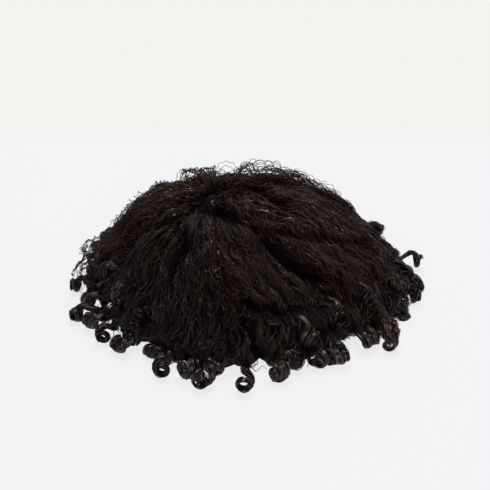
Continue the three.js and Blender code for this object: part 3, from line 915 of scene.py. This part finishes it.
def rim_locks(section):
    """The locks that end on the table, those of the part first."""
    places = []
    for i, end in enumerate(section.ends):
        places.append((lerp(RINGLET_EDGE, 1 - RINGLET_EDGE, (i + 0.5) / section.locks), end))
    places += [(row.across, row.end) for row in rows_of(section, RIM_COLUMNS, RIM_ROWS)]
    for i, (across, end) in enumerate(places):
        index = section.first_lock + i
        (point,), _, _ = hair_point(section, across, 1.0)
        free = 4 * across * (1 - across)
        yaw = math.radians(spread(index, RINGLET_YAW_DEG, STEP.yaw) * free)
        outward = unit(point * (1, 1, 0))
        aside = math.radians(spread(index, RINGLET_TURN_DEG, STEP.yaw))
        part_axis, axis = turned(outward, UP, yaw), turned(outward, UP, aside)
        radius = RINGLET_FULL * spread(index, RINGLET_RADIUS, STEP.radius)
        middle = point * (1, 1, 0) + part_axis * (end + RINGLET_HALF)
        mouth = middle - axis * RINGLET_HALF + UP * (radius + RINGLET_THICKNESS / 2 + FLOOR_GAP)
        turns, hand = spread(index, RINGLET_TURNS, STEP.turns), -1 if aside > 0 else 1
        yield SimpleNamespace(
            across=across, leave=LEAVE_SHARE, mouth=mouth, axis=axis, radius=radius, turns=turns, hand=hand,
            # open is the painted light of the ringlet
            full=lerp(1, FAR_FULL, smooth(end, *FAR_END)), open=RINGLET_PAINTED_LIGHT,
            strands=FRONT_STRANDS if section.index >= FIRST_FRONT else RIM_STRANDS,
        )


def slope_lock(section, across, share, lift, yaw, radius, turns, hand):
    """A shorter lock, whose ringlet lies on the slope."""
    (point,), (out,), _ = hair_point(section, across, share, lift)
    (ahead,), _, _ = hair_point(section, across, share + NEARBY, lift)
    axis = turned(unit(unit(ahead - point) + UPPER_LIFT * out), out, yaw)
    return SimpleNamespace(
        across=across, leave=share - CURL_LEAVE, mouth=point, axis=axis, radius=radius, turns=turns,
        # open is the painted light of the curl
        hand=hand, full=1.0, open=CURL_PAINTED_LIGHT, strands=LOCK_STRANDS,
    )


def upper_locks(section):
    """The shorter locks that the part has."""
    for i in range(section.upper):
        index = section.first_lock + i
        across = lerp(UPPER_EDGE, 1 - UPPER_EDGE, (i + 0.5) / section.upper)
        share = spread(index, UPPER_SHARE, STEP.share)
        radius, turns = spread(index, RINGLET_RADIUS, STEP.radius), spread(index, RINGLET_TURNS, STEP.turns)
        yield slope_lock(section, across, share, 0, 0, radius, turns, -1 if index % 2 else 1)


def curls(section, rng):
    """Small curls between the other locks."""
    for row in rows_of(section, CURL_COLUMNS, CURL_ROWS):
        for i in range(row.count):
            across = lerp(*row.across, (i + rng.uniform(*CURL_JITTER)) / row.count)
            share, lift = rng.uniform(*row.share), rng.uniform(*CURL_LIFT)
            radius, turns = rng.uniform(*CURL_RADIUS), rng.uniform(*CURL_TURNS)
            yaw, hand = math.radians(rng.uniform(*CURL_YAW_DEG)), rng.choice((-1, 1))
            yield slope_lock(section, across, share, lift, yaw, radius, turns, hand)


def standing_line(section, row, drift, rng):
    """A line that leaves the hair and stands off it: the places along it, and where they lie across the
    section, on the way down and out of the hair."""
    length = rng.uniform(*row.length)
    place = np.linspace(0, 1, round(length / SEGMENT))
    share = rng.uniform(*row.share) + place * length / FALL_LENGTH
    across = rng.uniform(*row.across) + place * rng.normal(0, drift / section.locks)
    lift = lerp(STANDING_SINK, rng.uniform(*row.tip), place)
    lift = lift + rng.uniform(*row.middle) * np.sin(np.pi * place) ** STANDING_FULLNESS
    return place, across, np.minimum(share, STANDING_END), lift


def add_loose(hair, section, row, rng):
    """One loose strand: an arch or a free end, crimped."""
    place, across, share, lift = standing_line(section, row, LOOSE_DRIFT, rng)
    path, out, _ = hair_point(section, across, share, lift)
    height = rng.uniform(*LOOSE_WAVE) * smooth(place, 0, LOOSE_WAVE_SHARE)
    length, phase = rng.uniform(*LOOSE_WAVE_LENGTH), rng.uniform(*FULL_TURN)
    path = waved(path, out, height, length, phase, rng.uniform(*LEAN))
    add_strand(hair, path, out, rng.uniform(*row.radius), red_share(section, rng), 1.0, LOOSE_GLOSS)


def add_wisp(hair, section, row, rng):
    """A few strands that stand off the hair and wave together."""
    place, across, share, lift = standing_line(section, row, WISP_DRIFT, rng)
    height = rng.uniform(*WISP_WAVE) * smooth(place, 0, WISP_WAVE_SHARE)
    length, phase, lean = rng.uniform(*WISP_WAVE_LENGTH), rng.uniform(*FULL_TURN), rng.uniform(*LEAN)
    for _ in range(WISP_STRANDS):
        aside = rng.normal(0, WISP_WIDTH) / (LOCK_WIDTH * section.locks)
        path, out, _ = hair_point(section, across + aside, share, lift + rng.normal(0, WISP_DEPTH))
        own_height, own_phase = height * rng.uniform(*WISP_UNEVEN), phase + rng.normal(0, WISP_JITTER)
        path = waved(path, out, own_height, length, own_phase, lean)
        add_strand(hair, path, out, rng.uniform(*WISP_RADIUS), red_share(section, rng), 1.0)


def add_arch(hair, section, row, rng):
    """One thin strand over the crown."""
    place = np.linspace(0, 1, ARCH_STEPS)
    lift = row.height * np.sin(np.pi * place) ** ARCH_FULLNESS
    path, out, _ = hair_point(section, lerp(*row.across, place), row.share, lift)
    height, length = np.full(ARCH_STEPS, ARCH_WAVE), rng.uniform(*ARCH_WAVE_LENGTH)
    path = waved(path, out, height, length, rng.uniform(*FULL_TURN), 1.0)
    add_strand(hair, path, out, rng.uniform(*WISP_RADIUS), red_share(section, rng), 1.0, LOOSE_GLOSS)


def add_core(hair, section):
    """The inside of a section: its surface sunk a little and ridged, closed at the partings and against the
    cap. Its colour is darkened as painted shade, the more in hollows and between locks."""
    columns = np.linspace(0, 1, section.locks * CORE_COLUMNS_PER_LOCK + 1)
    sides = CORE_RIDGE * np.where(np.arange(len(columns)) % 2, 1, -1)
    rings, tints = [], []
    for row, share in enumerate(np.linspace(CORE_START, 1, CORE_ROWS)):
        inset = CORE_INSET + CORE_RIM_INSET * smooth(share, *CORE_RIM_SHARE)
        inset = inset + sides * math.cos(CORE_RIDGE_TURN * row)
        outer, _, hollow = hair_point(section, columns, share, inset, CORE_HUMP)
        outer[:, 2] = CORE_CLEARANCE if share == 1 else np.maximum(outer[:, 2], CORE_CLEARANCE)
        inner = outer / np.linalg.norm(outer / (CAP_HALF_SIZE + CAP_CLEARANCE), axis=1, keepdims=True)
        rings.append(np.concatenate([outer, inner[::-1]]))
        # painted shade between the locks and in hollows
        painted_gap_shade = lerp(1, np.abs(np.sin(np.pi * columns * section.locks)), smooth(share, *CLUMP_RISE))
        painted_light_share = CORE_PAINTED_LIGHT * np.maximum(1 - CORE_HOLLOW_PAINTED_SHADE * hollow, 0) * painted_gap_shade
        painted_light_share = np.concatenate([painted_light_share, painted_light_share[::-1]])
        level = np.full(len(painted_light_share), section.red)
        tints.append(np.stack([level, 0 * level, painted_light_share, 0 * level], -1))
    around = 2 * LOCK_WIDTH * section.locks
    hair.add(np.array(rings), np.array(tints), FALL_LENGTH, around, strip_ends=True)


def make_section(section, material):
    rng = np.random.default_rng(100 + section.index)
    hair = Hair()
    add_core(hair, section)
    add_body(hair, section, rng)
    for lock in [*rim_locks(section), *upper_locks(section), *curls(section, rng)]:
        lock.sway_length, lock.sway_phase = rng.uniform(*LOCK_SWAY_LENGTH), rng.uniform(*FULL_TURN)
        lock.width = RINGLET_WIDTH * lock.full * rng.uniform(*BAND_WIDTH)
        lock.thickness = RINGLET_THICKNESS * lock.full * rng.uniform(*BAND_THICKNESS)
        add_lock(hair, section, lock, rng)
    for columns, rows, add in ((LOOSE_COLUMNS, LOOSE_ROWS, add_loose), (WISP_COLUMNS, WISP_ROWS, add_wisp)):
        for row in rows_of(section, columns, rows):
            for _ in range(row.count):
                add(hair, section, row, rng)
    for row in rows_of(section, ARCH_COLUMNS, ARCH_ROWS):
        add_arch(hair, section, row, rng)
    thing = hair.make(section.name + "_hair", material)
    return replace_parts(thing, section.name)


def crown_line(place, heading, length, steps):
    """A straight line in plan near the crown, as azimuths and shares of the hair's surface."""
    way = np.array([math.cos(heading), math.sin(heading)])
    offset = place + np.linspace(0, length, steps)[:, None] * way
    distance = np.linalg.norm(offset, axis=1)
    ray = offset / distance[:, None]
    towards = ray @ CROWN[:2]
    reach = np.sqrt(towards**2 - CROWN[:2] @ CROWN[:2] + RIM_RADIUS**2) - towards
    rim = CROWN[:2] + ray * reach[:, None]
    share = 2 / np.pi * np.arcsin(np.minimum(distance / reach, 1))
    return np.degrees(np.arctan2(rim[:, 1], rim[:, 0])), share


def add_whorl_core(hair):
    """The middle of the whorl, a low dome, dark with painted shade."""
    angle = 2 * np.pi * np.arange(WHORL_SIDES) / WHORL_SIDES
    rings = []
    for share in np.linspace(WHORL_HOLE, 1, WHORL_RINGS):
        x = CROWN[0] + WHORL_RADIUS * share * np.cos(angle)
        y = CROWN[1] - WHORL_RADIUS * share * np.sin(angle)
        z = np.full(WHORL_SIDES, CROWN[2] - WHORL_SINK - WHORL_DOME * share**2)
        rings.append(np.stack([x, y, z], -1))
    tint = np.tile(WHORL_PAINTED_SHADE_TINT, (WHORL_RINGS, 1))
    hair.add(np.array(rings[::-1])[:, ::-1], tint, WHORL_RADIUS, WHORL_AROUND)


def make_whorl(material):
    """Short tufts that cross the crown in all directions, darkened as painted shade, over a middle dark with
    painted shade.
    """
    rng = np.random.default_rng(90)
    hair = Hair()
    add_whorl_core(hair)
    for i in range(WHORL_TUFTS):
        heading = 2 * math.pi * (i + rng.uniform(0, 1)) / WHORL_TUFTS
        ahead = np.array([math.cos(heading), math.sin(heading)])
        aside = np.array([-ahead[1], ahead[0]])
        place = rng.normal(*WHORL_ASIDE) * aside - rng.uniform(*WHORL_BEHIND) * ahead
        length = rng.uniform(*WHORL_LENGTH)
        steps = round(length / SEGMENT)
        phase, crimp_length = rng.uniform(*FULL_TURN), rng.uniform(*CRIMP_LENGTH)
        top, shade = rng.uniform(*WHORL_TOP), rng.uniform(*WHORL_RED)
        along = np.linspace(0, 1, steps)
        root_sink = FLEECE_SINK * (1 - smooth(along, 0, WHORL_SINK_SHARE))
        tip_sink = FLEECE_SINK * smooth(along, 1 - WHORL_SINK_SHARE, 1)
        for _ in range(TUFT_STRANDS):
            own_place = place + rng.normal(0, WHORL_STRAY, 2)
            azimuth, share = crown_line(own_place, heading + rng.normal(0, WHORL_STRAY_TURN), length, steps)
            lift = top + rng.uniform(-WHORL_DEPTH, WHORL_DEPTH) + root_sink + tip_sink
            path, out, hollow = hair_at(azimuth, share, lift)
            height = np.full(steps, rng.uniform(*CRIMP_HEIGHT))
            own_phase = phase + rng.normal(0, CRIMP_JITTER)
            path = waved(path, out, height, crimp_length, own_phase, WHORL_LEAN)
            twist, radius = rng.uniform(-TWIST, TWIST), rng.uniform(*STRAND_RADIUS)
            add_strand(hair, path, out, radius, shade, painted_light(lift, hollow), WHORL_PAINTED_SHADE, 0.0, twist)
    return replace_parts(hair.make("crown_whorl_hair", material), "crown_whorl")


def feed(tree, node, inputs):
    """Sets each of a node's inputs to a value, or joins it to another node's output."""
    for name, source in inputs.items():
        if isinstance(source, bpy.types.NodeSocket):
            tree.links.new(source, node.inputs[name])
        else:
            node.inputs[name].default_value = source


def add_node(tree, kind, inputs, **settings):
    node = tree.nodes.new("ShaderNode" + kind)
    for name, setting in settings.items():
        setattr(node, name, setting)
    feed(tree, node, inputs)
    return node.outputs


def ramp(tree, source, first, last, end=1.0):
    """A blend of two colours, which reaches the last one where the source reaches end."""
    colour = add_node(tree, "ValToRGB", {"Fac": source})["Color"]
    elements = colour.node.color_ramp.elements
    elements[0].color, elements[1].color = (*first, 1), (*last, 1)
    elements[1].position = end
    return colour


def principled(name):
    material = bpy.data.materials.new(name)
    material.use_nodes = True
    return material, material.node_tree, material.node_tree.nodes["Principled BSDF"]


# The colours of hair and of its gloss, from black to brown
HAIR_COLOURS = ((0.0032, 0.0024, 0.0022), (0.03, 0.0133, 0.011))
GLOSS_COLOURS = ((1.0, 0.86, 0.83), (1.0, 0.7, 0.65))
HAIR_SHADED = 0.15  # share of the colour left in the deepest painted shade
# Noise: its scales along and across the hair, and its detail
STREAK_NOISE = (0.06, 0.55, 2.0)
BEND_NOISE = (0.045, 0.1, 1.0)
DRIFT_NOISE = (0.03, 0.08, 1.0)
STREAK_WAVE = 0.75  # radians for each millimetre along the hair
STREAK_BEND = 9.0
STREAK_DRIFT = 6.0
STREAK_SHINE = 7.0
STREAK_LEAST = 0.2
STREAK_BUMP = 0.8
ROUGHNESS = SimpleNamespace(rough=0.48, polish=0.26, streaks=0.14)
SPECULAR = SimpleNamespace(rough=0.25, polish=0.42)


def hair_material():
    """Brown-black glossy hair. The tint attribute holds the share of red, the polish, and the painted light:
    how far the hair lies in the open, which scales its colour and gloss as painted shade and painted
    highlight. Its last value is 0 inside the hair, where the streaks are crimped too."""
    material, tree, shader = principled("hair")

    def value(operation, *sources):
        return add_node(tree, "Math", dict(enumerate(sources)), operation=operation)["Value"]

    def noise_at(u, v, scale_u, scale_v, detail):
        scaled = {"X": value("MULTIPLY", u, scale_u), "Y": value("MULTIPLY", v, scale_v)}
        place = add_node(tree, "CombineXYZ", scaled)["Vector"]
        return add_node(tree, "TexNoise", {"Scale": 1.0, "Detail": detail, "Vector": place})["Fac"]

    tint = add_node(tree, "Attribute", {}, attribute_name="tint")
    parts = add_node(tree, "SeparateColor", {"Color": tint["Color"]})
    # light is the painted light: painted shade where hair lies deep, in hollows and between locks, painted
    # highlight on ringlets
    red, polish, light = parts["Red"], parts["Green"], parts["Blue"]
    inside = value("SUBTRACT", 1.0, tint["Alpha"])
    flow = add_node(tree, "UVMap", {}, uv_map="flow")["UV"]
    lengths = add_node(tree, "SeparateXYZ", {"Vector": flow})
    u, v = lengths["X"], lengths["Y"]
    bend = value("MULTIPLY", noise_at(u, v, *BEND_NOISE), STREAK_BEND)
    wave = value("SINE", value("ADD", value("MULTIPLY", u, STREAK_WAVE), bend))
    drift = value("MULTIPLY", noise_at(u, v, *DRIFT_NOISE), STREAK_DRIFT)
    aside = value("MULTIPLY", value("ADD", wave, drift), inside)
    streaks = noise_at(u, value("ADD", v, aside), *STREAK_NOISE)
    # The colour is scaled by the painted light, down to HAIR_SHADED in the deepest painted shade.
    shaded = {"Value": light, "To Min": HAIR_SHADED, "To Max": 1.0}
    shade = add_node(tree, "MapRange", shaded, clamp=False)["Result"]
    colour = {"Vector": ramp(tree, red, *HAIR_COLOURS), "Scale": shade}
    softness = value("SUBTRACT", ROUGHNESS.rough, value("MULTIPLY", polish, ROUGHNESS.polish))
    level = value("ADD", SPECULAR.rough, value("MULTIPLY", polish, SPECULAR.polish))
    shine = value("MULTIPLY", value("SUBTRACT", streaks, 0.5), value("MULTIPLY", inside, STREAK_SHINE))
    level = value("MULTIPLY", level, value("MAXIMUM", value("ADD", 1.0, shine), STREAK_LEAST))
    bump = {"Strength": value("MULTIPLY", inside, STREAK_BUMP), "Distance": MM, "Height": streaks}
    feed(tree, shader, {
        "Base Color": add_node(tree, "VectorMath", colour, operation="SCALE")["Vector"],
        "Roughness": value("ADD", softness, value("MULTIPLY", streaks, ROUGHNESS.streaks)),
        # the gloss is scaled by the painted light as well
        "Specular IOR Level": value("MULTIPLY", level, light),
        "Specular Tint": ramp(tree, red, *GLOSS_COLOURS),
        "Normal": add_node(tree, "Bump", bump)["Normal"],
    })
    return material


CAP_COLOURS = ((0.012, 0.011, 0.010), (0.003, 0.003, 0.003))  # of a thread, and between threads
CAP_THREAD = 0.3  # how far from a thread its colour fades, in meshes
CAP_MESHES = 420.0  # for each metre
CAP_RELIEF = 0.4 * MM


def cap_material():
    """Matt black net: fine threads round small uneven meshes."""
    material, tree, shader = principled("cap_net")
    place = add_node(tree, "TexCoord", {})["Object"]
    cells = {"Scale": CAP_MESHES, "Vector": place}
    distance = add_node(tree, "TexVoronoi", cells, feature="DISTANCE_TO_EDGE")["Distance"]
    bump = {"Strength": 0.6, "Distance": CAP_RELIEF, "Height": distance}
    feed(tree, shader, {
        "Base Color": ramp(tree, distance, *CAP_COLOURS, CAP_THREAD),
        "Roughness": 0.85,
        "Normal": add_node(tree, "Bump", bump, invert=True)["Normal"],
    })
    return material


# The view, from the photograph
VIEW_ELEVATION = math.radians(29)
VIEW_DISTANCE = 1.19
VIEW_LENS = 85.0
VIEW_HEIGHT = 0.045  # of the point that the camera looks at
TABLE_BACK = 0.372  # the table's far edge, from the middle of the cap
TABLE_REACH = 3.0


def make_camera():
    data = bpy.data.cameras.new("camera")
    data.lens = VIEW_LENS
    camera = place_in_scene("camera", data)
    target = Vector(CAP_MIDDLE) + Vector((0, 0, VIEW_HEIGHT))
    back = Vector((0, -math.cos(VIEW_ELEVATION), math.sin(VIEW_ELEVATION)))
    camera.location = target + back * VIEW_DISTANCE
    camera.rotation_euler = (-back).to_track_quat("-Z", "Y").to_euler()
    bpy.context.scene.camera = camera


def make_table():
    """A pale table that shows almost no shadow, as it mostly glows by itself."""
    far = CAP_MIDDLE[1] + TABLE_BACK
    corners = [(-TABLE_REACH, -TABLE_REACH, 0), (TABLE_REACH, -TABLE_REACH, 0)]
    corners += [(TABLE_REACH, far, 0), (-TABLE_REACH, far, 0)]
    mesh = bpy.data.meshes.new("table")
    mesh.from_pydata(corners, [], [(0, 1, 2, 3)])
    material, tree, shader = principled("table")
    feed(tree, shader, {
        "Base Color": (0.085, 0.085, 0.085, 1),
        "Emission Color": (0.877, 0.877, 0.893, 1),
        "Emission Strength": 0.9,
        "Roughness": 0.8,
        "Specular IOR Level": 0.2,
    })
    mesh.materials.append(material)
    table = place_in_scene("table", mesh)


# Softboxes: name, place in metres, side in metres and power in watts
SOFTBOXES = (
    ("softbox_top", (0.0, 0.25, 1.6), 0.5, 17.0),
    ("softbox_back", (-0.1, 1.1, 1.3), 0.5, 5.0),
    ("softbox_right", (1.1, -0.1, 1.1), 0.5, 2.2),
    ("softbox_front", (0.1, -1.3, 0.45), 0.4, 6.0),
)
WALL_COLOURS = ((0.89, 0.885, 0.865), (0.12, 0.12, 0.125))  # all round, and overhead
WALL_TOP = (0.1, 0.55)  # the heights between which one turns into the other


def make_light():
    """A pale wall all round that darkens overhead, and softboxes."""
    world = bpy.data.worlds.new("studio")
    world.use_nodes = True
    tree = world.node_tree
    place = add_node(tree, "TexCoord", {})["Generated"]
    up = add_node(tree, "SeparateXYZ", {"Vector": place})["Z"]
    limits = dict(zip(("From Min", "From Max"), WALL_TOP))
    height = add_node(tree, "MapRange", {"Value": up, **limits})["Result"]
    wall = {"Color": ramp(tree, height, *WALL_COLOURS), "Strength": 1.0}
    feed(tree, tree.nodes["Background"], wall)
    bpy.context.scene.world = world
    for name, place, size, energy in SOFTBOXES:
        data = bpy.data.lights.new(name, "AREA")
        data.shape = "SQUARE"
        data.size = size
        data.energy = energy
        lamp = place_in_scene(name, data)
        lamp.location = place
        lamp.rotation_euler = (-lamp.location).to_track_quat("-Z", "Y").to_euler()


make_camera()
make_table()
make_light()
hair_look = hair_material()
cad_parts["wig_cap"].data.materials.clear()
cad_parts["wig_cap"].data.materials.append(cap_material())
for section in sections:
    make_section(section, hair_look)
make_whorl(hair_look)
bpy.context.scene.view_settings.view_transform = "Standard"
